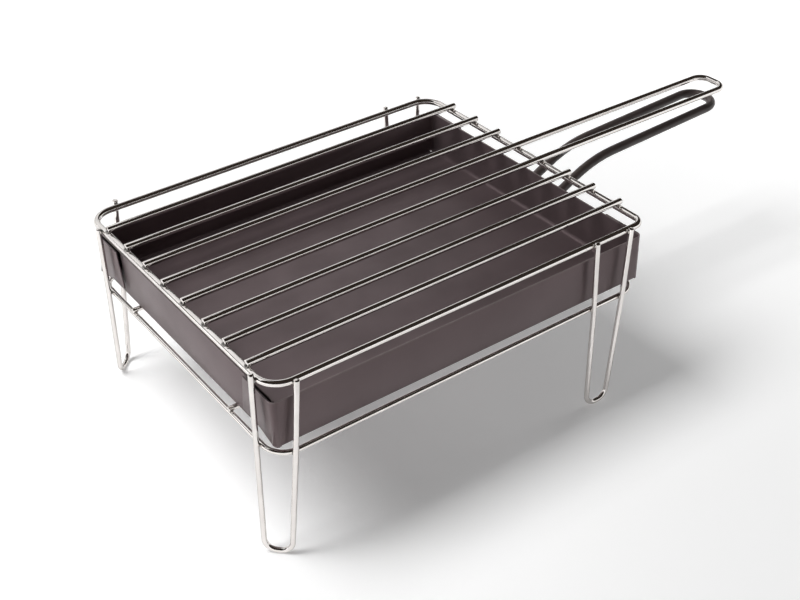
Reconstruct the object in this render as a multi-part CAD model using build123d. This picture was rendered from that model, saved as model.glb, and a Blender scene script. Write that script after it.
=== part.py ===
from build123d import *
import math
import os

os.makedirs("parts", exist_ok=True)

# All sizes are in millimetres. The origin is on the table, under the middle of the wire rings.
# +X runs towards the handles, +Y towards the rear long side, and +Z is up.

# Gauges of wire, rod and sheet
thick_wire = 5.0
thin_wire = 4.0
pan_rod = 7.5
weld_sink = 0.3

# Rings, measured between wire centre lines
ring_length = 320.0
ring_width = 262.0
ring_corner = 17.0
top_ring_front_right_corner = 9.0
ring_height = 147.0
ring_drop = 57.0

# Grate bars: where each one crosses the rings' short sides; they were laid by hand, not quite evenly
bar_rows = {
    "grate_bar_rear_outer": 98.2,
    "grate_bar_rear_middle": 67.7,
    "grate_bar_rear_inner": 38.6,
    "grate_bar_front_inner": -47.6,
    "grate_bar_front_middle": -75.0,
    "grate_bar_front_outer": -103.9,
}
bar_left_overhang = 0.5
bar_right_overhang = 2.5
bar_end_chamfer = 0.4

# Carrying handle: a hairpin that is the grate's middle two bars and a loop beyond the ring, which sags a little
hairpin_rows = (10.9, -17.7)
loop_reach = 209.5
loop_corner = 10.0
loop_bend_start = 8.0
loop_bend = 400.0
loop_sag = 1.6

# Wires that the pan rests on
rest_wire_offset = 72.0
rest_wire_overhang = 2.0

# Legs: where the two wires of each hairpin are welded, at the top ring and at the lower ring
front_left_side_y = (-116.0, -111.5)
front_left_long_x = (-142.5, -147.5)
rear_left_side_y = (106.0, 110.0)
rear_left_long_x = (-136.5, -141.0)
front_right_near_x = (110.5, 112.0)
front_right_end_x = (143.5, 140.0)
rear_right_near_x = (116.5, 117.5)
rear_right_end_x = (150.0, 146.0)

# Feet: the middle of each hairpin's bend on the table, and which way the bend lies
front_left_foot = (-161.5, -122.5)
rear_left_foot = (-153.4, 133.3)
front_right_foot = (119.3, -136.0)
rear_right_foot = (124.5, 136.0)
left_foot_turn = 45.0
foot_half_width = 9.8
foot_bend = 9.0
leg_knee_bend = 60.0
leg_top_rise = 2.9
front_left_side_rise = 5.0
front_left_long_rise = 2.4
rear_left_long_rise = 4.0

# Pan: a tray folded from one sheet, its long walls carried round the corners as tapered tabs
pan_left = -156.4
pan_right = 161.9
pan_half_width = 128.9
pan_bottom = 96.0
pan_rim = 133.5
sheet = 1.0
side_bend = 2.4
left_end_bend = 2.5
right_end_bend = 4.2
left_corner_bend = 3.5
right_corner_bend = 5.5
corner_clearance = 1.5
left_tab_gap = 1.5
right_tab_gap = 0.3
tab_taper = 4.5
left_tab_reach = 36.0
right_tab_reach = 39.0
tab_corner_edge = 96.4
tab_slope_run = 22.0
tab_slope_edge = 103.2
tab_free_edge = 104.0

# Pan handle: one rod bent to a hairpin, with its ends upright against the pan's end wall
pan_handle_middle_y = -3.4
pan_handle_half_gap = 15.6
rod_end_height = 97.5
rod_knee_height = 107.4
rod_shoulder_x = 214.7
rod_shoulder_height = 132.5
rod_tip_x = 361.2
rod_tip_height = 138.0
rod_knee_bend = 8.0
rod_shoulder_bend = 100.0
rod_tip_bend = 15.0

# Weld metal squeezed out where wires cross, and the beads beside the pan handle's rod ends
thick_weld = 2.1
thin_weld = 1.8
weld_turn = (20.0, 35.0, 50.0)
bead_radius = 1.7
bead_length = 8.0
bead_end_round = 1.3

# Worked out from the dimensions above
half_length = ring_length / 2
half_width = ring_width / 2
pan_depth = pan_rim - pan_bottom
floor_left = pan_left + left_end_bend
floor_right = pan_right - right_end_bend
band_left = pan_left - left_tab_gap - sheet
band_right = pan_right + right_tab_gap + sheet
rod_end_x = pan_right + pan_rod / 2 - weld_sink
lower_ring_height = ring_height - ring_drop
bar_height = ring_height + thick_wire - weld_sink
rest_height = lower_ring_height + thin_wire - weld_sink
wire_touches = ((thick_wire + thin_wire) / 2 - weld_sink, thin_wire - weld_sink)
weld_touches = ((thick_wire - weld_sink) / 2, (thin_wire - weld_sink) / 2)
leg_layout = {
    "leg_front_left": {
        "wires": (("left", front_left_side_y), ("front", front_left_long_x)),
        "rises": (front_left_side_rise, front_left_long_rise),
        "foot": front_left_foot,
        "turn": -left_foot_turn,
    },
    "leg_rear_left": {
        "wires": (("left", rear_left_side_y), ("rear", rear_left_long_x)),
        "rises": (leg_top_rise, rear_left_long_rise),
        "foot": rear_left_foot,
        "turn": left_foot_turn,
    },
    "leg_front_right": {
        "wires": (("front", front_right_near_x), ("front", front_right_end_x)),
        "rises": (leg_top_rise, leg_top_rise),
        "foot": front_right_foot,
        "turn": 0,
    },
    "leg_rear_right": {
        "wires": (("rear", rear_right_near_x), ("rear", rear_right_end_x)),
        "rises": (leg_top_rise, leg_top_rise),
        "foot": rear_right_foot,
        "turn": 0,
    },
}


def wire_along(path, diameter):
    start = Plane(origin=path @ 0, z_dir=path % 0)
    return sweep(start * Circle(diameter / 2), path=path)


def straight_wire(left, right, y, z, diameter):
    bar = Cylinder(diameter / 2, right - left, rotation=(0, 90, 0))
    bar = chamfer(bar.edges().filter_by(GeomType.CIRCLE), bar_end_chamfer)
    return Pos((left + right) / 2, y, z) * bar


def ring(height, diameter, front_right_corner):
    points = [
        (-half_length, -half_width, height),
        (half_length, -half_width, height),
        (half_length, half_width, height),
        (-half_length, half_width, height),
    ]
    bends = [ring_corner, front_right_corner, ring_corner, ring_corner]
    return wire_along(FilletPolyline(*points, radius=bends, close=True), diameter)


def grate_bar(y):
    left = -half_length - bar_left_overhang
    return straight_wire(left, half_length + bar_right_overhang, y, bar_height, thick_wire)


def carrying_handle():
    rear_y, front_y = hairpin_rows
    profile = [
        (-half_length - bar_left_overhang, bar_height),
        (half_length + loop_bend_start, bar_height),
        (half_length + loop_reach, bar_height - loop_sag),
    ]
    rear = [(x, rear_y, z) for x, z in profile]
    front = [(x, front_y, z) for x, z in reversed(profile)]
    bends = [loop_bend, loop_corner, loop_corner, loop_bend]
    return wire_along(FilletPolyline(*rear, *front, radius=bends), thick_wire)


def pan_rest(y):
    reach = half_length + rest_wire_overhang
    return straight_wire(-reach, reach, y, rest_height, thin_wire)


# How far out a place on a ring's outer side lies, following the ring's corner bend
def reach_beside(along, half_run, half_across, touch):
    overrun = max(0.0, abs(along) - (half_run - ring_corner))
    return half_across - ring_corner + math.sqrt((ring_corner + touch) ** 2 - overrun**2)


def beside_ring(side, along, height, touch):
    if side == "left":
        return Vector(-reach_beside(along, half_width, half_length, touch), along, height)
    out = reach_beside(along, half_length, half_width, touch)
    return Vector(along, out if side == "rear" else -out, height)


# One leg wire's places beside the top ring and the lower ring
def leg_places(side, alongs, touches):
    heights = (ring_height, lower_ring_height)
    return [beside_ring(side, *place) for place in zip(alongs, heights, touches)]


def leg(name):
    layout = leg_layout[name]
    first, second = (leg_places(*wire, wire_touches) for wire in layout["wires"])
    along = Vector(1, 0, 0).rotate(Axis.Z, layout["turn"]) * foot_half_width
    middle = Vector(*layout["foot"], thin_wire / 2)
    first_rise, second_rise = (Vector(0, 0, rise) for rise in layout["rises"])
    first_top = first[0] + first_rise
    second_top = second[0] + second_rise
    points = [first_top, first[1], middle - along, middle + along, second[1], second_top]
    bends = [leg_knee_bend, foot_bend, foot_bend, leg_knee_bend]
    return wire_along(FilletPolyline(*points, radius=bends), thin_wire)


# A rectangle whose two left corners and two right corners are rounded to their own radii
def rounded_rectangle(left, right, width, left_bend, right_bend):
    outline = Pos((left + right) / 2, 0, 0) * Rectangle(right - left, width)
    outline = fillet(outline.vertices().sort_by(Axis.X)[:2], left_bend)
    return fillet(outline.vertices().sort_by(Axis.X)[-2:], right_bend)


# A band of sheet between that rectangle and one a sheet's thickness inside it
def rounded_band(left, right, width, left_bend, right_bend):
    outer = rounded_rectangle(left, right, width, left_bend, right_bend)
    inner = rounded_rectangle(
        left + sheet,
        right - sheet,
        width - 2 * sheet,
        left_bend - sheet,
        right_bend - sheet,
    )
    return outer - inner


# A U-shaped strip of sheet in its own plane, open at the top, with its two lower corners bent
def channel_profile(plane, low, high, low_bend, high_bend):
    band = rounded_band(low, high, 2 * pan_depth, low_bend, high_bend)
    upper_half = Pos((low + high) / 2, pan_depth, 0) * Rectangle(2 * (high - low), 2 * pan_depth)
    return plane * (Pos(0, pan_depth, 0) * (band - upper_half))


# The floor with its end walls, which widen above the side bends to stand between the long walls
def end_walls():
    profile_plane = Plane(origin=(0, 0, pan_bottom), x_dir=(1, 0, 0), z_dir=(0, -1, 0))
    profile = channel_profile(profile_plane, pan_left, pan_right, left_end_bend, right_end_bend)
    lower = extrude(profile, pan_half_width - side_bend, both=True)
    upper = extrude(profile, pan_half_width - sheet - corner_clearance, both=True)
    above_bends = Box(
        pan_right - pan_left,
        2 * pan_half_width,
        pan_depth - side_bend,
        align=(Align.MIN, Align.CENTER, Align.MIN),
    )
    return lower + (upper & (Pos(pan_left, 0, pan_bottom + side_bend) * above_bends))


# The floor with its long walls, between the two end bends
def long_walls():
    profile_plane = Plane(origin=(floor_left, 0, pan_bottom), x_dir=(0, 1, 0), z_dir=(1, 0, 0))
    profile = channel_profile(profile_plane, -pan_half_width, pan_half_width, side_bend, side_bend)
    return extrude(profile, floor_right - floor_left)


# An upright band of sheet around the pan: both long walls, the four corners and the tabs
def wall_band(low, high):
    band = rounded_band(band_left, band_right, 2 * pan_half_width, left_corner_bend, right_corner_bend)
    return Pos(0, 0, low) * extrude(band, high - low)


# What the band leaves open at one end: the space between the two tapered tabs, and below them
def tab_trim(start, end, reach):
    one_side = [
        (pan_half_width, pan_bottom),
        (pan_half_width, tab_corner_edge),
        (pan_half_width - tab_slope_run, tab_slope_edge),
        (pan_half_width - reach - tab_taper, tab_free_edge),
        (pan_half_width - reach, pan_rim),
    ]
    other_side = [(-y, z) for y, z in reversed(one_side)]
    profile = Plane.YZ.offset(start) * Polygon(*one_side, *other_side, align=None)
    return extrude(profile, end - start)


# The band above the side bends, carried down at the four corners to the tabs' lower edge
def walls_and_tabs():
    side_bend_top = pan_bottom + side_bend
    between_corners = Pos((floor_left + floor_right) / 2, 0, pan_bottom) * Box(
        floor_right - floor_left,
        2 * ring_width,
        2 * pan_depth,
    )
    corners = wall_band(tab_corner_edge, side_bend_top) - between_corners
    left_trim = tab_trim(band_left, floor_left, left_tab_reach)
    right_trim = tab_trim(floor_right, band_right, right_tab_reach)
    return wall_band(side_bend_top, pan_rim) + corners - left_trim - right_trim


def charcoal_pan():
    return end_walls() + long_walls() + walls_and_tabs()


def pan_handle():
    profile = [
        (rod_end_x, rod_end_height),
        (rod_end_x, rod_knee_height),
        (rod_shoulder_x, rod_shoulder_height),
        (rod_tip_x, rod_tip_height),
    ]
    rear_y = pan_handle_middle_y + pan_handle_half_gap
    front_y = pan_handle_middle_y - pan_handle_half_gap
    rear = [(x, rear_y, z) for x, z in profile]
    front = [(x, front_y, z) for x, z in reversed(profile)]
    bends = [rod_knee_bend, rod_shoulder_bend, rod_tip_bend, rod_tip_bend, rod_shoulder_bend, rod_knee_bend]
    return wire_along(FilletPolyline(*rear, *front, radius=bends), pan_rod)


# Weld metal at one crossing: a small ball with both wires taken out of it
def weld_at(place, radius, *wires):
    return Pos(*place) * (Rot(*weld_turn) * Sphere(radius)) - list(wires)


def grate_welds():
    height = ring_height + (thick_wire - weld_sink) / 2
    rows = [(bars[name], y) for name, y in bar_rows.items()]
    rows += [(handle_wire, y) for y in hairpin_rows]
    return [
        weld_at((x, y, height), thick_weld, wire, top_ring)
        for wire, y in rows
        for x in (-half_length, half_length)
    ]


def rest_welds():
    height = lower_ring_height + (thin_wire - weld_sink) / 2
    return [
        weld_at((x, y, height), thin_weld, wire, lower_ring)
        for wire, y in ((rest_front, -rest_wire_offset), (rest_rear, rest_wire_offset))
        for x in (-half_length, half_length)
    ]


def leg_welds():
    welds = []
    for name, shape in legs.items():
        for wire in leg_layout[name]["wires"]:
            upper, lower = leg_places(*wire, weld_touches)
            welds.append(weld_at(tuple(upper), thick_weld, shape, top_ring))
            welds.append(weld_at(tuple(lower), thin_weld, shape, lower_ring))
    return welds


# Two weld beads fill the grooves between the pan's end wall and each upright rod end
def pan_handle_welds():
    groove = math.sqrt(pan_rod * bead_radius)
    x = pan_right + bead_radius / 2
    z = rod_end_height + bead_length / 2
    bead = Cylinder(bead_radius, bead_length)
    bead = fillet(bead.edges().filter_by(GeomType.CIRCLE), bead_end_round)
    beads = []
    for rod_side in (-1, 1):
        for bead_side in (-1, 1):
            y = pan_handle_middle_y + rod_side * pan_handle_half_gap + bead_side * groove
            beads.append(Pos(x, y, z) * bead - [pan, pan_rod_handle])
    return beads


top_ring = ring(ring_height, thick_wire, top_ring_front_right_corner)
lower_ring = ring(lower_ring_height, thin_wire, ring_corner)
handle_wire = carrying_handle()
bars = {name: grate_bar(y) for name, y in bar_rows.items()}
rest_front = pan_rest(-rest_wire_offset)
rest_rear = pan_rest(rest_wire_offset)
legs = {name: leg(name) for name in leg_layout}
pan = charcoal_pan()
pan_rod_handle = pan_handle()

parts = {
    "top_ring": [top_ring],
    "lower_ring": [lower_ring],
    "carrying_handle": [handle_wire],
    "pan_rest_front": [rest_front],
    "pan_rest_rear": [rest_rear],
    "grate_welds": grate_welds(),
    "leg_welds": leg_welds(),
    "rest_welds": rest_welds(),
    "charcoal_pan": [pan],
    "pan_handle": [pan_rod_handle],
    "pan_handle_welds": pan_handle_welds(),
}
for name, shape in {**bars, **legs}.items():
    parts[name] = [shape]

for name, shapes in parts.items():
    solids = [solid for shape in shapes for solid in shape.solids()]
    node = solids[0] if len(solids) == 1 else Compound(children=solids)
    print(name, len(solids), round(sum(solid.volume for solid in solids), 1))
    export_step(node, os.path.join("parts", name + ".step"))
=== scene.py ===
import math

import bmesh
import bpy
from mathutils import Matrix, Vector


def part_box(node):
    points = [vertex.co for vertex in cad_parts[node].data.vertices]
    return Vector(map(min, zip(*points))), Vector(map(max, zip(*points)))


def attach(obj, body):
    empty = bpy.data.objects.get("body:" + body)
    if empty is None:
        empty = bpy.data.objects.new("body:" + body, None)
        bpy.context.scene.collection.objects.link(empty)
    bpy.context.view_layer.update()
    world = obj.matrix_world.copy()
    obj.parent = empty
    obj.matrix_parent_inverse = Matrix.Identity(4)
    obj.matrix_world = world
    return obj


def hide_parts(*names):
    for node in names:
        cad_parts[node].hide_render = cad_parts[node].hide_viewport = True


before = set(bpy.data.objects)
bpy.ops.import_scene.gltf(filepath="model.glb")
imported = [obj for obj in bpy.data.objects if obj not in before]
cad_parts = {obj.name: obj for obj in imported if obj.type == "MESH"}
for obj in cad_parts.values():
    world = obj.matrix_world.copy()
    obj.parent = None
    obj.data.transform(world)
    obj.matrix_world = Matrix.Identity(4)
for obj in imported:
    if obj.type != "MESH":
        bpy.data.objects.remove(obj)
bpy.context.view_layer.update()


# Small helpers for working on one piece
meshLimits = {
    "merge": 0.00001,
    "samePlace": 0.00005,
    "decimals": 5,
}


def deselectAll():
    if bpy.context.mode != "OBJECT":
        bpy.ops.object.mode_set(mode="OBJECT")
    bpy.ops.object.select_all(action="DESELECT")


def selectOnly(piece):
    deselectAll()
    bpy.context.view_layer.objects.active = piece
    piece.select_set(True)


def startEditing(piece):
    selectOnly(piece)
    bpy.ops.object.mode_set(mode="EDIT")


def settlePlace(piece):
    selectOnly(piece)
    bpy.ops.object.transform_apply(location=True, rotation=True, scale=True)


def copyPiece(piece, name, move):
    selectOnly(piece)
    bpy.ops.object.duplicate(linked=False)
    copy = bpy.context.object
    copy.name = name
    bpy.ops.transform.translate(value=tuple(move))
    settlePlace(copy)
    return copy


def near(first, second):
    return abs(first - second) < meshLimits["samePlace"]


def pickVerts(piece, wanted):
    bpy.ops.mesh.select_mode(type="VERT")
    mesh = bmesh.from_edit_mesh(piece.data)
    for vert in mesh.verts:
        vert.select_set(wanted(vert.co))
    mesh.select_flush_mode()
    bmesh.update_edit_mesh(piece.data)


# An edge is picked when both of its ends are wanted
def pickEdges(piece, wanted):
    bpy.ops.mesh.select_mode(type="EDGE")
    bpy.ops.mesh.select_all(action="DESELECT")
    mesh = bmesh.from_edit_mesh(piece.data)
    for edge in mesh.edges:
        edge.select_set(all(wanted(vert.co) for vert in edge.verts))
    bmesh.update_edit_mesh(piece.data)


def mergeAll():
    bpy.ops.mesh.select_all(action="SELECT")
    bpy.ops.mesh.remove_doubles(threshold=meshLimits["merge"])


def pull(offset):
    bpy.ops.mesh.extrude_region_move(TRANSFORM_OT_translate={"value": tuple(offset)})


# spin turns clockwise about its axis, so the axis is turned over
def spinRound(steps, angle, center, axis):
    bpy.ops.mesh.spin(
        steps=steps,
        angle=angle,
        center=tuple(center),
        axis=tuple(-Vector(axis)),
        use_auto_merge=False,
    )


def useModifier(piece, kind, **settings):
    selectOnly(piece)
    modifier = piece.modifiers.new(kind.title(), kind)
    for key, value in settings.items():
        setattr(modifier, key, value)
    bpy.ops.object.modifier_apply(modifier=modifier.name)


def smoothShade(piece, degrees):
    selectOnly(piece)
    bpy.ops.object.shade_smooth_by_angle(angle=math.radians(degrees))


def boxOf(node):
    low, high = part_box(node)
    return Vector(low), Vector(high)


def middleOf(node):
    low, high = boxOf(node)
    return (low + high) / 2


# Wires and rods: a circle pulled along the runs and spun round the bends
wireDrawing = {
    "sides": 40,
    "stepDegrees": 5.0,
    "fewestSteps": 2,
    "endRound": 0.0004,
    "endSegments": 2,
    "smoothDegrees": 50,
}


def drawWire(name, corners, bends, radius, closed=False):
    corners = [Vector(corner) for corner in corners]
    place = corners[0]
    ahead = (corners[1] - place).normalized()
    deselectAll()
    bpy.ops.mesh.primitive_circle_add(
        vertices=wireDrawing["sides"],
        radius=radius,
        location=place,
        rotation=ahead.to_track_quat("Z", "Y").to_euler(),
    )
    piece = bpy.context.object
    piece.name = name
    settlePlace(piece)
    startEditing(piece)
    bpy.ops.mesh.select_mode(type="EDGE")
    bpy.ops.mesh.select_all(action="SELECT")
    for index, bend in enumerate(bends):
        corner = corners[index + 1]
        before = (corner - place).normalized()
        after = (corners[index + 2] - corner).normalized()
        turn = before.angle(after)
        setback = bend * math.tan(turn / 2)
        bendStart = corner - before * setback
        axis = before.cross(after).normalized()
        pull(bendStart - place)
        steps = round(math.degrees(turn) / wireDrawing["stepDegrees"])
        steps = max(wireDrawing["fewestSteps"], steps)
        spinRound(steps, turn, bendStart + axis.cross(before) * bend, axis)
        place = corner + after * setback
    pull(corners[-1] - place)
    mergeAll()
    if not closed:
        closeEnds(piece)
    bpy.ops.mesh.select_all(action="SELECT")
    bpy.ops.mesh.normals_make_consistent(inside=False)
    smoothShade(piece, wireDrawing["smoothDegrees"])
    return piece


# The two end faces are the only ones with more than four corners
def closeEnds(piece):
    bpy.ops.mesh.select_all(action="SELECT")
    bpy.ops.mesh.fill_holes(sides=0)
    bpy.ops.mesh.select_all(action="DESELECT")
    mesh = bmesh.from_edit_mesh(piece.data)
    for face in mesh.faces:
        if len(face.verts) > 4:
            for edge in face.edges:
                edge.select_set(True)
    bmesh.update_edit_mesh(piece.data)
    bpy.ops.mesh.bevel(
        offset=wireDrawing["endRound"],
        segments=wireDrawing["endSegments"],
        affect="EDGES",
    )


# The two rings
ringShape = {
    "corner": 0.017,
    "topFrontRightCorner": 0.009,
    "thick": 0.005,
    "thin": 0.004,
}


def drawRing(name, node, diameter, frontRightCorner):
    low, high = boxOf(node)
    inset = Vector((diameter, diameter, diameter)) / 2
    low, high = low + inset, high - inset
    start = Vector(((low.x + high.x) / 2, low.y, low.z))
    corners = [
        start,
        (high.x, low.y, low.z),
        (high.x, high.y, low.z),
        (low.x, high.y, low.z),
        (low.x, low.y, low.z),
        start,
    ]
    bends = [frontRightCorner] + [ringShape["corner"]] * 3
    ring = drawWire(name, corners, bends, diameter / 2, closed=True)
    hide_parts(node)
    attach(ring, "stand")
    return ring


wirePieces = [
    drawRing("upper_ring_wire", "top_ring", ringShape["thick"], ringShape["topFrontRightCorner"]),
    drawRing("lower_ring_wire", "lower_ring", ringShape["thin"], ringShape["corner"]),
]
print("rings drawn")


# Straight wires: the single grate bars, and the two wires that the pan rests on
straightWires = {
    "barDiameter": 0.005,
    "bars": [
        "grate_bar_rear_outer",
        "grate_bar_rear_middle",
        "grate_bar_rear_inner",
        "grate_bar_front_inner",
        "grate_bar_front_middle",
        "grate_bar_front_outer",
    ],
    "restDiameter": 0.004,
    "rests": ["pan_rest_front", "pan_rest_rear"],
}


# The first wire of a row is drawn, and the others are copies of it
def layStraightWires(nodes, diameter):
    low, high = boxOf(nodes[0])
    middle = middleOf(nodes[0])
    ends = [(low.x, middle.y, middle.z), (high.x, middle.y, middle.z)]
    first = drawWire(nodes[0] + "_wire", ends, [], diameter / 2)
    wires = [first]
    for node in nodes[1:]:
        wires.append(copyPiece(first, node + "_wire", middleOf(node) - middle))
    for wire, node in zip(wires, nodes):
        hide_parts(node)
        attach(wire, "stand")
    return wires


wirePieces += layStraightWires(straightWires["bars"], straightWires["barDiameter"])
wirePieces += layStraightWires(straightWires["rests"], straightWires["restDiameter"])
print("straight wires laid")


# The hairpin bar that runs out to the carrying handle, which sags a little beyond the ring
handleShape = {
    "node": "carrying_handle",
    "diameter": 0.005,
    "corner": 0.010,
    "sagStart": 0.168,
    "sagBend": 0.400,
}


def drawCarryingHandle():
    radius = handleShape["diameter"] / 2
    low, high = boxOf(handleShape["node"])
    height, tipHeight = high.z - radius, low.z + radius
    sagStart, tip = handleShape["sagStart"], high.x - radius
    rear, front = high.y - radius, low.y + radius
    corners = [
        (low.x, rear, height),
        (sagStart, rear, height),
        (tip, rear, tipHeight),
        (tip, front, tipHeight),
        (sagStart, front, height),
        (low.x, front, height),
    ]
    sag, corner = handleShape["sagBend"], handleShape["corner"]
    handle = drawWire("carrying_handle_wire", corners, [sag, corner, corner, sag], radius)
    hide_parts(handleShape["node"])
    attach(handle, "stand")
    return handle


wirePieces.append(drawCarryingHandle())
print("carrying handle drawn")


# Legs: hairpins of the thin wire, welded outside both rings
legShape = {
    "diameter": 0.004,
    "weldSink": 0.0003,
    "footHalfWidth": 0.0098,
    "footBend": 0.009,
    "kneeBend": 0.060,
    "ringHalfLength": 0.160,
    "ringHalfWidth": 0.131,
    "ringHeights": (0.147, 0.090),
}

# For each leg: the places of its two wires along the upper and lower ring, the height of each
# wire's end above the upper ring, and where its foot stands
legPlaces = {
    "leg_front_left": {
        "wires": (("left", (-0.1160, -0.1115)), ("front", (-0.1425, -0.1475))),
        "rises": (0.0050, 0.0024),
        "foot": (-0.1615, -0.1225),
        "turn": -45,
    },
    "leg_rear_left": {
        "wires": (("left", (0.1060, 0.1100)), ("rear", (-0.1365, -0.1410))),
        "rises": (0.0029, 0.0040),
        "foot": (-0.1534, 0.1333),
        "turn": 45,
    },
    "leg_front_right": {
        "wires": (("front", (0.1105, 0.1120)), ("front", (0.1435, 0.1400))),
        "rises": (0.0029, 0.0029),
        "foot": (0.1193, -0.1360),
        "turn": 0,
    },
    "leg_rear_right": {
        "wires": (("rear", (0.1165, 0.1175)), ("rear", (0.1500, 0.1460))),
        "rises": (0.0029, 0.0029),
        "foot": (0.1245, 0.1360),
        "turn": 0,
    },
}


def besideRing(side, along, height, touch):
    onEnd = side == "left"
    halfRun = legShape["ringHalfWidth"] if onEnd else legShape["ringHalfLength"]
    halfAcross = legShape["ringHalfLength"] if onEnd else legShape["ringHalfWidth"]
    corner = ringShape["corner"]
    overrun = max(0.0, abs(along) - (halfRun - corner))
    out = halfAcross - corner + math.sqrt((corner + touch) ** 2 - overrun ** 2)
    if onEnd:
        return Vector((-out, along, height))
    return Vector((along, out if side == "rear" else -out, height))


def legTouches():
    thin, sink = legShape["diameter"], legShape["weldSink"]
    return (thin + ringShape["thick"]) / 2 - sink, thin - sink


def wirePlaces(wire):
    side, alongs = wire
    heights = legShape["ringHeights"]
    return [besideRing(side, *place) for place in zip(alongs, heights, legTouches())]


def drawLeg(node):
    layout = legPlaces[node]
    first, second = (wirePlaces(wire) for wire in layout["wires"])
    radius = legShape["diameter"] / 2
    turn = Matrix.Rotation(math.radians(layout["turn"]), 3, "Z")
    along = turn @ Vector((legShape["footHalfWidth"], 0, 0))
    middle = Vector((*layout["foot"], radius))
    firstRise, secondRise = (Vector((0, 0, rise)) for rise in layout["rises"])
    corners = [
        first[0] + firstRise,
        first[1],
        middle - along,
        middle + along,
        second[1],
        second[0] + secondRise,
    ]
    knee, foot = legShape["kneeBend"], legShape["footBend"]
    leg = drawWire(node + "_wire", corners, [knee, foot, foot, knee], radius)
    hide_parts(node)
    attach(leg, "stand")
    return leg


for node in legPlaces:
    wirePieces.append(drawLeg(node))
print("legs drawn")


# Pan: one folded sheet, modelled as its outer face and then given its thickness
panShape = {
    "node": "charcoal_pan",
    "sheet": 0.001,
    "sideBend": 0.0024,
    "sideSteps": 6,
    "endBends": {"left": 0.0025, "right": 0.0042},
    "cornerBends": {"left": 0.0035, "right": 0.0055},
    "bendSteps": 8,
    "tabGaps": {"left": 0.0015, "right": 0.0003},
    "tabReaches": {"left": 0.0360, "right": 0.0390},
    "tabTaper": 0.0045,
    "tabCornerEdge": 0.0964,
    "tabSlopeRun": 0.0220,
    "tabSlopeEdge": 0.1032,
    "tabFreeEdge": 0.1040,
    "tabStart": 0.0003,
    "rimRound": 0.00028,
    "rimSegments": 2,
    "rimDegrees": 55,
    "smoothDegrees": 40,
}
quarterTurn = math.radians(90)


def foldPan():
    low, high = boxOf(panShape["node"])
    sheet, sideBend = panShape["sheet"], panShape["sideBend"]
    left = low.x + panShape["tabGaps"]["left"] + sheet
    right = high.x - panShape["tabGaps"]["right"] - sheet
    half = high.y
    floorEnds = {
        "left": left + panShape["endBends"]["left"],
        "right": right - panShape["endBends"]["right"],
    }
    floorHalf = half - sideBend
    deselectAll()
    bpy.ops.mesh.primitive_plane_add(size=1, location=(sum(floorEnds.values()) / 2, 0, low.z))
    pan = bpy.context.object
    pan.name = "pan_sheet"
    bpy.ops.transform.resize(value=(floorEnds["right"] - floorEnds["left"], 2 * floorHalf, 1))
    settlePlace(pan)
    startEditing(pan)

    # end walls
    for end, inward in (("left", 1), ("right", -1)):
        edgeX, bend = floorEnds[end], panShape["endBends"][end]
        pickEdges(pan, lambda co: near(co.x, edgeX))
        middle = (edgeX, 0, low.z + bend)
        spinRound(panShape["bendSteps"], quarterTurn, middle, (0, inward, 0))
        pull((0, 0, high.z - low.z - bend))

    # long walls
    for edgeY, side in ((-floorHalf, -1), (floorHalf, 1)):
        pickEdges(pan, lambda co: near(co.y, edgeY) and near(co.z, low.z))
        middle = (0, edgeY, low.z + sideBend)
        spinRound(panShape["sideSteps"], quarterTurn, middle, (side, 0, 0))
        pull((0, 0, high.z - low.z - sideBend))

    # corners and tabs, carried round from the long walls' upright ends
    wallFoot = low.z + sideBend
    for end, bandX, outward in (("left", low.x, -1), ("right", high.x, 1)):
        for side in (-1, 1):
            foldTab(pan, end, floorEnds[end], bandX, outward, side, half, wallFoot)
            shapeTab(pan, end, floorEnds[end], outward, side, half, wallFoot)
    finishSheet(pan)
    return pan


def foldTab(pan, end, floorEnd, bandX, outward, side, half, wallFoot):
    corner, reach = panShape["cornerBends"][end], panShape["tabReaches"][end]
    slopeRun = panShape["tabSlopeRun"]
    wallY = side * half
    lowest = wallFoot - meshLimits["samePlace"]
    pickEdges(pan, lambda co: near(co.x, floorEnd) and near(co.y, wallY) and co.z > lowest)
    bendX = bandX - outward * corner
    if not near(bendX, floorEnd):
        pull((bendX - floorEnd, 0, 0))
    middle = (bendX, wallY - side * corner, 0)
    spinRound(panShape["bendSteps"], quarterTurn, middle, (0, 0, -outward * side))
    pull((0, -side * (slopeRun - corner), 0))
    pull((0, -side * (reach - slopeRun), 0))


# The tab's lower edge slopes up from the corner, and its free end tapers
def shapeTab(pan, end, floorEnd, outward, side, half, wallFoot):
    def isFoot(co):
        past = outward * (co.x - floorEnd)
        return near(co.z, wallFoot) and side * co.y > 0 and past > panShape["tabStart"]

    mesh = bmesh.from_edit_mesh(pan.data)
    feet = [vert.co for vert in mesh.verts if isFoot(vert.co)]
    distances = sorted({round(half - side * co.y, meshLimits["decimals"]) for co in feet})
    run, reach = panShape["tabSlopeRun"], panShape["tabReaches"][end]
    rise = panShape["tabSlopeEdge"] - panShape["tabCornerEdge"]
    for distance in distances:
        pickVerts(pan, lambda co: isFoot(co) and near(half - side * co.y, distance))
        if near(distance, reach):
            move = (0, -side * panShape["tabTaper"], panShape["tabFreeEdge"] - wallFoot)
        else:
            move = (0, 0, panShape["tabCornerEdge"] + rise * distance / run - wallFoot)
        bpy.ops.transform.translate(value=move)


def finishSheet(pan):
    mergeAll()
    bpy.ops.mesh.normals_make_consistent(inside=False)
    mesh = bmesh.from_edit_mesh(pan.data)
    floor = max(mesh.faces, key=lambda face: face.calc_area())
    if floor.normal.z > 0:
        bpy.ops.mesh.flip_normals()
    useModifier(pan, "SOLIDIFY", thickness=panShape["sheet"], offset=-1, use_even_offset=True)
    useModifier(
        pan,
        "BEVEL",
        width=panShape["rimRound"],
        segments=panShape["rimSegments"],
        limit_method="ANGLE",
        angle_limit=math.radians(panShape["rimDegrees"]),
    )
    smoothShade(pan, panShape["smoothDegrees"])


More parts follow.
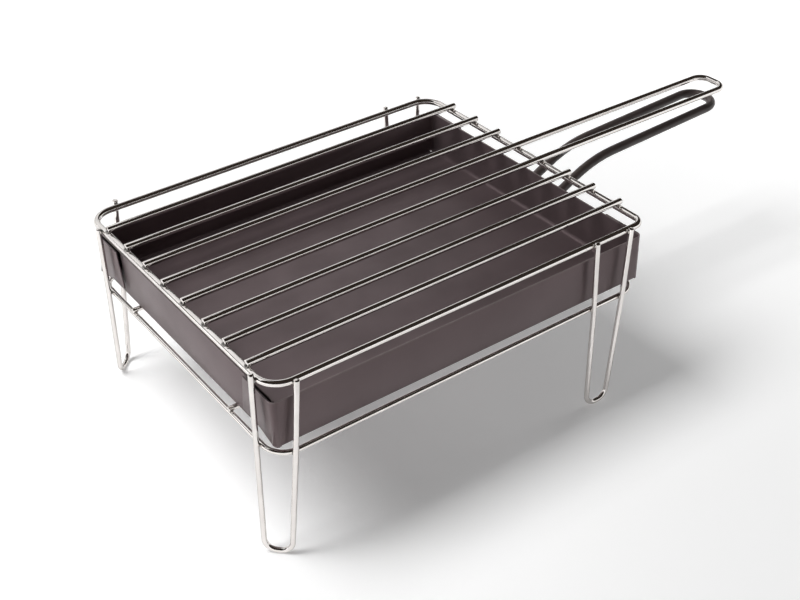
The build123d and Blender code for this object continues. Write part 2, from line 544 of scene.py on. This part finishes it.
pan = foldPan()
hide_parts("charcoal_pan")
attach(pan, "pan")
print("pan folded")


# The pan's handle: one thick rod bent to a hairpin
rodShape = {
    "diameter": 0.0075,
    "weldSink": 0.0003,
    "middleY": -0.0034,
    "halfGap": 0.0156,
    "endHeight": 0.0975,
    "kneeHeight": 0.1074,
    "shoulder": (0.2147, 0.1325),
    "tip": (0.3612, 0.1380),
    "kneeBend": 0.008,
    "shoulderBend": 0.100,
    "tipBend": 0.015,
}


def drawPanHandle():
    low, high = boxOf(panShape["node"])
    wallX = high.x - panShape["tabGaps"]["right"] - panShape["sheet"]
    radius = rodShape["diameter"] / 2
    endX = wallX + radius - rodShape["weldSink"]
    profile = [
        (endX, rodShape["endHeight"]),
        (endX, rodShape["kneeHeight"]),
        rodShape["shoulder"],
        rodShape["tip"],
    ]
    rearY = rodShape["middleY"] + rodShape["halfGap"]
    frontY = rodShape["middleY"] - rodShape["halfGap"]
    corners = [(x, rearY, z) for x, z in profile]
    corners += [(x, frontY, z) for x, z in reversed(profile)]
    knee, shoulder, tip = rodShape["kneeBend"], rodShape["shoulderBend"], rodShape["tipBend"]
    bends = [knee, shoulder, tip, tip, shoulder, knee]
    handle = drawWire("pan_handle_rod", corners, bends, radius)
    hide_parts("pan_handle")
    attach(handle, "pan")
    return handle


panRod = drawPanHandle()
print("pan handle drawn")


# Weld metal: lumps squeezed out where wires cross
weldShape = {
    "thickRadius": 0.0021,
    "thinRadius": 0.0018,
    "subdivisions": 3,
    "roughness": 0.10,
    "smoothing": 0.5,
    "smoothDegrees": 60,
    "seed": 7,
}


def weldLump(place, radius, seed, name):
    deselectAll()
    bpy.ops.mesh.primitive_ico_sphere_add(
        subdivisions=weldShape["subdivisions"], radius=radius, location=place
    )
    lump = bpy.context.object
    lump.name = name
    settlePlace(lump)
    startEditing(lump)
    bpy.ops.mesh.select_all(action="SELECT")
    offset = radius * weldShape["roughness"]
    bpy.ops.transform.vertex_random(offset=offset, seed=seed, uniform=0.0)
    bpy.ops.mesh.vertices_smooth(factor=weldShape["smoothing"])
    deselectAll()
    return lump


def joinPieces(lumps, name):
    deselectAll()
    for lump in lumps:
        lump.select_set(True)
    bpy.context.view_layer.objects.active = lumps[0]
    bpy.ops.object.join()
    piece = bpy.context.object
    piece.name = name
    settlePlace(piece)
    smoothShade(piece, weldShape["smoothDegrees"])
    return piece


def weldCrossings(places, name, node):
    lumps = [
        weldLump(place, radius, weldShape["seed"] + index, name)
        for index, (place, radius) in enumerate(places)
    ]
    piece = joinPieces(lumps, name)
    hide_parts(node)
    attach(piece, "stand")
    return piece


# Both ends of every wire that lies across a ring are welded to it
def ringCrossings(rows, level, ringDiameter, radius):
    height = legShape["ringHeights"][level] + (ringDiameter - legShape["weldSink"]) / 2
    ends = (-legShape["ringHalfLength"], legShape["ringHalfLength"])
    return [((x, y, height), radius) for y in rows for x in ends]


def grateWeldPlaces():
    rows = [middleOf(node).y for node in straightWires["bars"]]
    low, high = boxOf(handleShape["node"])
    handleRadius = handleShape["diameter"] / 2
    rows += [low.y + handleRadius, high.y - handleRadius]
    return ringCrossings(rows, 0, ringShape["thick"], weldShape["thickRadius"])


def restWeldPlaces():
    rows = [middleOf(node).y for node in straightWires["rests"]]
    return ringCrossings(rows, 1, ringShape["thin"], weldShape["thinRadius"])


def legWeldPlaces():
    sink = legShape["weldSink"]
    heights = legShape["ringHeights"]
    touches = ((ringShape["thick"] - sink) / 2, (ringShape["thin"] - sink) / 2)
    radii = (weldShape["thickRadius"], weldShape["thinRadius"])
    places = []
    for layout in legPlaces.values():
        for side, alongs in layout["wires"]:
            for along, height, touch, radius in zip(alongs, heights, touches, radii):
                places.append((tuple(besideRing(side, along, height, touch)), radius))
    return places


weldPieces = [
    weldCrossings(grateWeldPlaces(), "grate_weld_metal", "grate_welds"),
    weldCrossings(restWeldPlaces(), "rest_weld_metal", "rest_welds"),
    weldCrossings(legWeldPlaces(), "leg_weld_metal", "leg_welds"),
]
print("welds laid")


# Small helpers for nodes. What is fed to a socket is another socket, a number or a colour
def feed(links, socket, value):
    if isinstance(value, bpy.types.NodeSocket):
        links.new(value, socket)
    else:
        socket.default_value = value


def addMath(nodes, links, operation, *values):
    node = nodes.new("ShaderNodeMath")
    node.operation = operation
    for socket, value in zip(node.inputs, values):
        feed(links, socket, value)
    return node.outputs[0]


def addRange(nodes, links, value, span, low=0.0, high=1.0, form="LINEAR"):
    node = nodes.new("ShaderNodeMapRange")
    node.interpolation_type = form
    feed(links, node.inputs["Value"], value)
    feed(links, node.inputs["From Min"], span[0])
    feed(links, node.inputs["From Max"], span[1])
    feed(links, node.inputs["To Min"], low)
    feed(links, node.inputs["To Max"], high)
    return node.outputs["Result"]


def mixColours(nodes, links, share, first, second):
    node = nodes.new("ShaderNodeMix")
    node.data_type = "RGBA"
    feed(links, node.inputs["Factor"], share)
    feed(links, node.inputs["A"], first)
    feed(links, node.inputs["B"], second)
    return node.outputs["Result"]


def addNoise(nodes, links, scale, detail):
    place = nodes.new("ShaderNodeTexCoord")
    noise = nodes.new("ShaderNodeTexNoise")
    links.new(place.outputs["Object"], noise.inputs["Vector"])
    feed(links, noise.inputs["Scale"], scale)
    feed(links, noise.inputs["Detail"], detail)
    return noise.outputs["Fac"]


# Node groups that several finishes share
grainSetting = {
    "scale": 800.0,
    "detail": 4.0,
    "low": 0.0,
    "high": 1.0,
    "noiseSpan": (0.3, 0.7),
}
mottleSetting = {
    "scale": 40.0,
    "detail": 5.0,
    "first": (0.5, 0.5, 0.5, 1),
    "second": (0.6, 0.6, 0.6, 1),
    "noiseSpan": (0.35, 0.65),
}


def addInput(group, name, kind, value):
    socket = group.interface.new_socket(name=name, in_out="INPUT", socket_type=kind)
    socket.default_value = value


def addOutput(group, name, kind):
    group.interface.new_socket(name=name, in_out="OUTPUT", socket_type=kind)


def makeGrainGroup():
    group = bpy.data.node_groups.new("fineGrain", "ShaderNodeTree")
    addInput(group, "Scale", "NodeSocketFloat", grainSetting["scale"])
    addInput(group, "Detail", "NodeSocketFloat", grainSetting["detail"])
    addInput(group, "Low", "NodeSocketFloat", grainSetting["low"])
    addInput(group, "High", "NodeSocketFloat", grainSetting["high"])
    addOutput(group, "Value", "NodeSocketFloat")
    nodes, links = group.nodes, group.links
    given = nodes.new("NodeGroupInput").outputs
    result = nodes.new("NodeGroupOutput").inputs
    noise = addNoise(nodes, links, given["Scale"], given["Detail"])
    value = addRange(nodes, links, noise, grainSetting["noiseSpan"], given["Low"], given["High"])
    links.new(value, result["Value"])
    return group


def makeMottleGroup():
    group = bpy.data.node_groups.new("colourMottle", "ShaderNodeTree")
    addInput(group, "Scale", "NodeSocketFloat", mottleSetting["scale"])
    addInput(group, "First", "NodeSocketColor", mottleSetting["first"])
    addInput(group, "Second", "NodeSocketColor", mottleSetting["second"])
    addOutput(group, "Color", "NodeSocketColor")
    nodes, links = group.nodes, group.links
    given = nodes.new("NodeGroupInput").outputs
    result = nodes.new("NodeGroupOutput").inputs
    noise = addNoise(nodes, links, given["Scale"], mottleSetting["detail"])
    share = addRange(nodes, links, noise, mottleSetting["noiseSpan"])
    mixed = mixColours(nodes, links, share, given["First"], given["Second"])
    links.new(mixed, result["Color"])
    return group


grainGroup = makeGrainGroup()
mottleGroup = makeMottleGroup()


def placeGroup(nodes, group, **values):
    node = nodes.new("ShaderNodeGroup")
    node.node_tree = group
    for key, value in values.items():
        node.inputs[key].default_value = value
    return node


# What all finishes have: a mottled colour, an uneven sheen and a fine grain
def startFinish(name, look):
    material = bpy.data.materials.new(name)
    material.use_nodes = True
    nodes, links = material.node_tree.nodes, material.node_tree.links
    shader = nodes["Principled BSDF"]
    colour = placeGroup(
        nodes, mottleGroup, Scale=look["mottleScale"], First=look["first"], Second=look["second"]
    )
    sheen = placeGroup(
        nodes, grainGroup, Scale=look["sheenScale"], Low=look["smooth"], High=look["rough"]
    )
    grain = placeGroup(nodes, grainGroup, Scale=look["grainScale"], Detail=look["grainDetail"])
    bump = nodes.new("ShaderNodeBump")
    bump.inputs["Strength"].default_value = look["bumpStrength"]
    bump.inputs["Distance"].default_value = look["bumpDepth"]
    shader.inputs["Metallic"].default_value = look["metallic"]
    links.new(sheen.outputs["Value"], shader.inputs["Roughness"])
    links.new(grain.outputs["Value"], bump.inputs["Height"])
    links.new(bump.outputs["Normal"], shader.inputs["Normal"])
    return material, shader, colour.outputs["Color"]


# Bright plated wire, with painted shade along its edges
platingLook = {
    "first": (0.86, 0.825, 0.80, 1),
    "second": (0.78, 0.745, 0.72, 1),
    "mottleScale": 60.0,
    "metallic": 1.0,
    "smooth": 0.05,
    "rough": 0.12,
    "sheenScale": 90.0,
    "grainScale": 160.0,
    "grainDetail": 2.0,
    "bumpStrength": 0.25,
    "bumpDepth": 0.0001,
    # painted shade: the colour the wire's edges are darkened towards
    "edge": (0.25, 0.23, 0.21, 1),
    "edgeShadeSpan": (0.35, 0.78),
    "edgeShadeShare": 0.5,
}


def platedWire():
    look = platingLook
    material, shader, colour = startFinish("platedWire", look)
    nodes, links = material.node_tree.nodes, material.node_tree.links

    # painted shade: the plating's colour is darkened where the wire curves away from view,
    # standing in for the dark reflections along its edges
    grazing = nodes.new("ShaderNodeLayerWeight").outputs["Facing"]
    share = addRange(nodes, links, grazing, look["edgeShadeSpan"], high=look["edgeShadeShare"])
    edgeShaded = mixColours(nodes, links, share, colour, look["edge"])
    links.new(edgeShaded, shader.inputs["Base Color"])
    return material


# Weld metal: duller, darker and rougher than the wire
weldLook = {
    "first": (0.42, 0.40, 0.38, 1),
    "second": (0.16, 0.15, 0.145, 1),
    "mottleScale": 500.0,
    "metallic": 1.0,
    "smooth": 0.25,
    "rough": 0.5,
    "sheenScale": 500.0,
    "grainScale": 1500.0,
    "grainDetail": 3.0,
    "bumpStrength": 0.6,
    "bumpDepth": 0.0002,
}


def weldMetal():
    material, shader, colour = startFinish("weldMetal", weldLook)
    material.node_tree.links.new(colour, shader.inputs["Base Color"])
    return material


# Satin paint on the pan, with a painted highlight along the rim and painted shade behind the left
# tabs
panLook = {
    "first": (0.080, 0.060, 0.063, 1),
    "second": (0.066, 0.050, 0.052, 1),
    "mottleScale": 25.0,
    "metallic": 0.0,
    "ior": 1.8,
    "shineTint": (1.0, 0.76, 0.78, 1),
    "smooth": 0.32,
    "rough": 0.41,
    "sheenScale": 25.0,
    "grainScale": 2200.0,
    "grainDetail": 3.0,
    "bumpStrength": 0.12,
    "bumpDepth": 0.0001,
    # painted highlight: the colour of the rim's top edge
    "rimHighlight": (0.34, 0.30, 0.29, 1),
    "rimSpan": (0.1327, 0.1334),
    "rimHighlightShare": 0.25,
    "patchScale": 300.0,
    "patchLow": 0.6,
    # painted shade: the colour of the faces behind the left tabs
    "tabShade": (0.004, 0.003, 0.003, 1),
    "tabShadeAcross": (-0.15745, 0.00125),  # middle and half width
    "tabShadeAlong": (0.1078, 0.0167),  # the same, on both sides
}


def panPaint():
    look = panLook
    material, shader, colour = startFinish("panPaint", look)
    nodes, links = material.node_tree.nodes, material.node_tree.links
    shader.inputs["IOR"].default_value = look["ior"]
    shader.inputs["Specular Tint"].default_value = look["shineTint"]
    place = nodes.new("ShaderNodeTexCoord")
    parts = nodes.new("ShaderNodeSeparateXYZ")
    links.new(place.outputs["Object"], parts.inputs[0])

    # painted highlight: the colour is lightened in a patchy band at the rim's top edge, standing
    # in for the light that the rounded rim catches
    rim = addRange(nodes, links, parts.outputs["Z"], look["rimSpan"], high=look["rimHighlightShare"])
    patchy = placeGroup(nodes, grainGroup, Scale=look["patchScale"], Low=look["patchLow"])
    share = addMath(nodes, links, "MULTIPLY", rim, patchy.outputs["Value"])
    rimLit = mixColours(nodes, links, share, colour, look["rimHighlight"])

    # painted shade: the faces hidden behind the lapped tabs at the left end are painted near
    # black, as no light reaches them
    across = addMath(nodes, links, "COMPARE", parts.outputs["X"], *look["tabShadeAcross"])
    eitherSide = addMath(nodes, links, "ABSOLUTE", parts.outputs["Y"])
    along = addMath(nodes, links, "COMPARE", eitherSide, *look["tabShadeAlong"])
    behind = addMath(nodes, links, "MULTIPLY", across, along)
    shaded = mixColours(nodes, links, behind, rimLit, look["tabShade"])
    links.new(shaded, shader.inputs["Base Color"])
    return material


# Satin paint on the pan's rod handle
rodLook = {
    "first": (0.076, 0.058, 0.056, 1),
    "second": (0.060, 0.046, 0.044, 1),
    "mottleScale": 80.0,
    "metallic": 0.0,
    "smooth": 0.34,
    "rough": 0.48,
    "sheenScale": 80.0,
    "grainScale": 1800.0,
    "grainDetail": 3.0,
    "bumpStrength": 0.15,
    "bumpDepth": 0.0001,
}


def rodPaint():
    material, shader, colour = startFinish("rodPaint", rodLook)
    material.node_tree.links.new(colour, shader.inputs["Base Color"])
    return material


def paintPieces(pieces, material):
    for piece in pieces:
        piece.data.materials.clear()
        piece.data.materials.append(material)


paintPieces(wirePieces, platedWire())
paintPieces(weldPieces, weldMetal())
paintPieces([pan], panPaint())
paintPieces([panRod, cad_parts["pan_handle_welds"]], rodPaint())
print("finishes made")


# Studio: a round pale floor with a low wall at its rim, and dim surroundings
studio = {
    "floorRadius": 4.0,
    "floorSides": 96,
    "wallHeight": 1.15,
    "floorColour": (0.82, 0.82, 0.82, 1),
    "floorGlowNear": 0.24,
    "floorGlowFar": 0.95,
    "glowMiddle": (-0.40, -0.02, 0.0),
    "glowSpan": (0.49, 1.65),
    "surroundSeen": (1.0, 1.0, 1.0, 1),
    "surroundLight": (0.02, 0.02, 0.02, 1),
    "surroundMirrored": (0.030, 0.024, 0.020, 1),
}


def startBareMaterial(name):
    material = bpy.data.materials.new(name)
    material.use_nodes = True
    nodes, links = material.node_tree.nodes, material.node_tree.links
    nodes.clear()
    surface = nodes.new("ShaderNodeOutputMaterial").inputs["Surface"]
    return material, nodes, links, surface


def makeFloor():
    deselectAll()
    bpy.ops.mesh.primitive_circle_add(
        vertices=studio["floorSides"],
        radius=studio["floorRadius"],
        fill_type="NGON",
        location=(0, 0, 0),
    )
    floor = bpy.context.object
    floor.name = "studio_floor"
    startEditing(floor)
    pickEdges(floor, lambda co: True)
    bpy.ops.mesh.extrude_edges_move(TRANSFORM_OT_translate={"value": (0, 0, studio["wallHeight"])})
    deselectAll()
    floor.data.materials.append(glowingFloor())


# The floor's glow is seen and mirrored but lights nothing, and it grows with the distance
def glowingFloor():
    material, nodes, links, surface = startBareMaterial("studioFloor")
    matt = nodes.new("ShaderNodeBsdfDiffuse")
    matt.inputs["Color"].default_value = studio["floorColour"]
    place = nodes.new("ShaderNodeTexCoord")
    distance = nodes.new("ShaderNodeVectorMath")
    distance.operation = "DISTANCE"
    distance.inputs[1].default_value = studio["glowMiddle"]
    links.new(place.outputs["Object"], distance.inputs[0])
    brightness = addRange(
        nodes,
        links,
        distance.outputs["Value"],
        studio["glowSpan"],
        studio["floorGlowNear"],
        studio["floorGlowFar"],
        form="SMOOTHSTEP",
    )
    ray = nodes.new("ShaderNodeLightPath").outputs
    seen = addMath(nodes, links, "MAXIMUM", ray["Is Camera Ray"], ray["Is Glossy Ray"])
    seen = addMath(nodes, links, "MAXIMUM", seen, ray["Is Transmission Ray"])
    glow = nodes.new("ShaderNodeEmission")
    strength = addMath(nodes, links, "MULTIPLY", seen, brightness)
    links.new(strength, glow.inputs["Strength"])
    both = nodes.new("ShaderNodeAddShader")
    links.new(matt.outputs[0], both.inputs[0])
    links.new(glow.outputs[0], both.inputs[1])
    links.new(both.outputs[0], surface)
    return material


def makeSurround():
    world = bpy.data.worlds.new("studioSurround")
    bpy.context.scene.world = world
    world.use_nodes = True
    nodes, links = world.node_tree.nodes, world.node_tree.links
    nodes.clear()
    output = nodes.new("ShaderNodeOutputWorld")
    background = nodes.new("ShaderNodeBackground")
    ray = nodes.new("ShaderNodeLightPath").outputs
    light, mirrored = studio["surroundLight"], studio["surroundMirrored"]
    unseen = mixColours(nodes, links, ray["Is Glossy Ray"], light, mirrored)
    colour = mixColours(nodes, links, ray["Is Camera Ray"], unseen, studio["surroundSeen"])
    links.new(colour, background.inputs["Color"])
    links.new(background.outputs[0], output.inputs["Surface"])


makeFloor()
makeSurround()


# Lamps light the object, and pale cards stand where its bright metal mirrors them
lamps = {
    "key_soft_box": {
        "place": (-1.12, 0.45, 1.80), "turn": (0, 0, 0), "size": (1.7, 0.9), "power": 54.0,
    },
    "right_fill": {
        "place": (1.75, 0.10, 0.70), "turn": (0, 70, 0), "size": (0.9, 0.9), "power": 6.5,
    },
}
cards = {
    "backdrop_card": {"low": (-1.9, 3.0, 0.0), "high": (2.4, 3.0, 3.4), "glow": 0.96},
    "low_backdrop_card": {"low": (-4.0, 3.0, 0.0), "high": (-1.9, 3.0, 0.76), "glow": 0.92},
    "rear_left_card": {"low": (-2.6, 0.60, 2.0), "high": (0.0, 3.0, 2.0), "glow": 1.0},
}


def hangLamp(name, box):
    light = bpy.data.lights.new(name, "AREA")
    light.shape = "RECTANGLE"
    light.size, light.size_y = box["size"]
    light.energy = box["power"]
    lamp = bpy.data.objects.new(name, light)
    bpy.context.collection.objects.link(lamp)
    lamp.location = box["place"]
    lamp.rotation_euler = [math.radians(degrees) for degrees in box["turn"]]
    lamp.visible_glossy = False


# A card stands upright when it has a height, and else hangs level
def hangCard(name, card):
    low, high = Vector(card["low"]), Vector(card["high"])
    size = high - low
    standing = quarterTurn if size.z else 0
    deselectAll()
    bpy.ops.mesh.primitive_plane_add(
        size=1, location=(low + high) / 2, rotation=(standing, 0, 0)
    )
    piece = bpy.context.object
    piece.name = name
    bpy.ops.transform.resize(value=(size.x, size.y or 1, size.z or 1))
    settlePlace(piece)
    piece.visible_camera = False
    piece.visible_diffuse = False
    piece.visible_shadow = False
    material, nodes, links, surface = startBareMaterial(name)
    glow = nodes.new("ShaderNodeEmission")
    glow.inputs["Strength"].default_value = card["glow"]
    links.new(glow.outputs[0], surface)
    piece.data.materials.append(material)


for name, box in lamps.items():
    hangLamp(name, box)
for name, card in cards.items():
    hangCard(name, card)


# The camera stands where the photograph was taken from
cameraSetting = {
    "place": (-0.4471, -0.6887, 0.6485),
    "headingDegrees": 34.792,
    "downDegrees": 35.051,
    "rollDegrees": -1.808,
    "lens": 58.05,
    "sensorWidth": 36.0,
}


def placeCamera():
    data = bpy.data.cameras.new("photo_camera")
    data.lens = cameraSetting["lens"]
    data.sensor_width = cameraSetting["sensorWidth"]
    camera = bpy.data.objects.new("photo_camera", data)
    bpy.context.collection.objects.link(camera)
    heading = Matrix.Rotation(-math.radians(cameraSetting["headingDegrees"]), 4, "Z")
    tilt = Matrix.Rotation(math.radians(90 - cameraSetting["downDegrees"]), 4, "X")
    roll = Matrix.Rotation(math.radians(cameraSetting["rollDegrees"]), 4, "Z")
    camera.matrix_world = Matrix.Translation(cameraSetting["place"]) @ heading @ tilt @ roll
    bpy.context.scene.camera = camera


placeCamera()
bpy.context.scene.view_settings.view_transform = "Standard"
print("studio ready")
